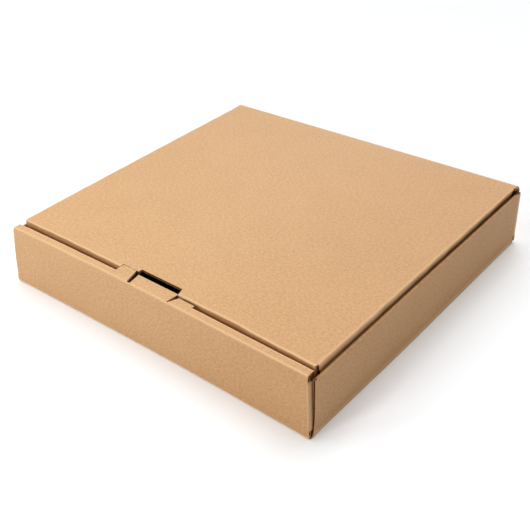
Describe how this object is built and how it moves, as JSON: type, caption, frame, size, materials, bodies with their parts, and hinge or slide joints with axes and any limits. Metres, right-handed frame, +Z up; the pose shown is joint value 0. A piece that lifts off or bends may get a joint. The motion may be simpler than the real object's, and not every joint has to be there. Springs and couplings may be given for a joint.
{
  "type": "pizza box",
  "caption": "Square shallow pizza box folded from one sheet of brown corrugated board, with a hinged lid, tuck-in flaps and a front lock tongue.",
  "frame": {"origin": "middle of the bottom face, on the surface the closed box stands on", "axes": "+X to the right seen from the front, +Y from the front wall to the lid's hinge at the back, +Z up"},
  "size_m": [0.2586, 0.2499, 0.046],
  "materials": {
    "kraft_board": "plain unbleached brown liner, matte, with fine fibres and darker specks"
  },
  "bodies": {
    "tray": {"base_tray": "kraft_board"},
    "lid": {"lid": "kraft_board"}
  },
  "joints": [
    {"name": "lid_hinge", "type": "hinge", "parent": "tray", "child": "lid", "pos_m": [0, 0.1242, 0.0452], "axis": [-1, 0, 0], "range_deg": [0, 180]}
  ]
}
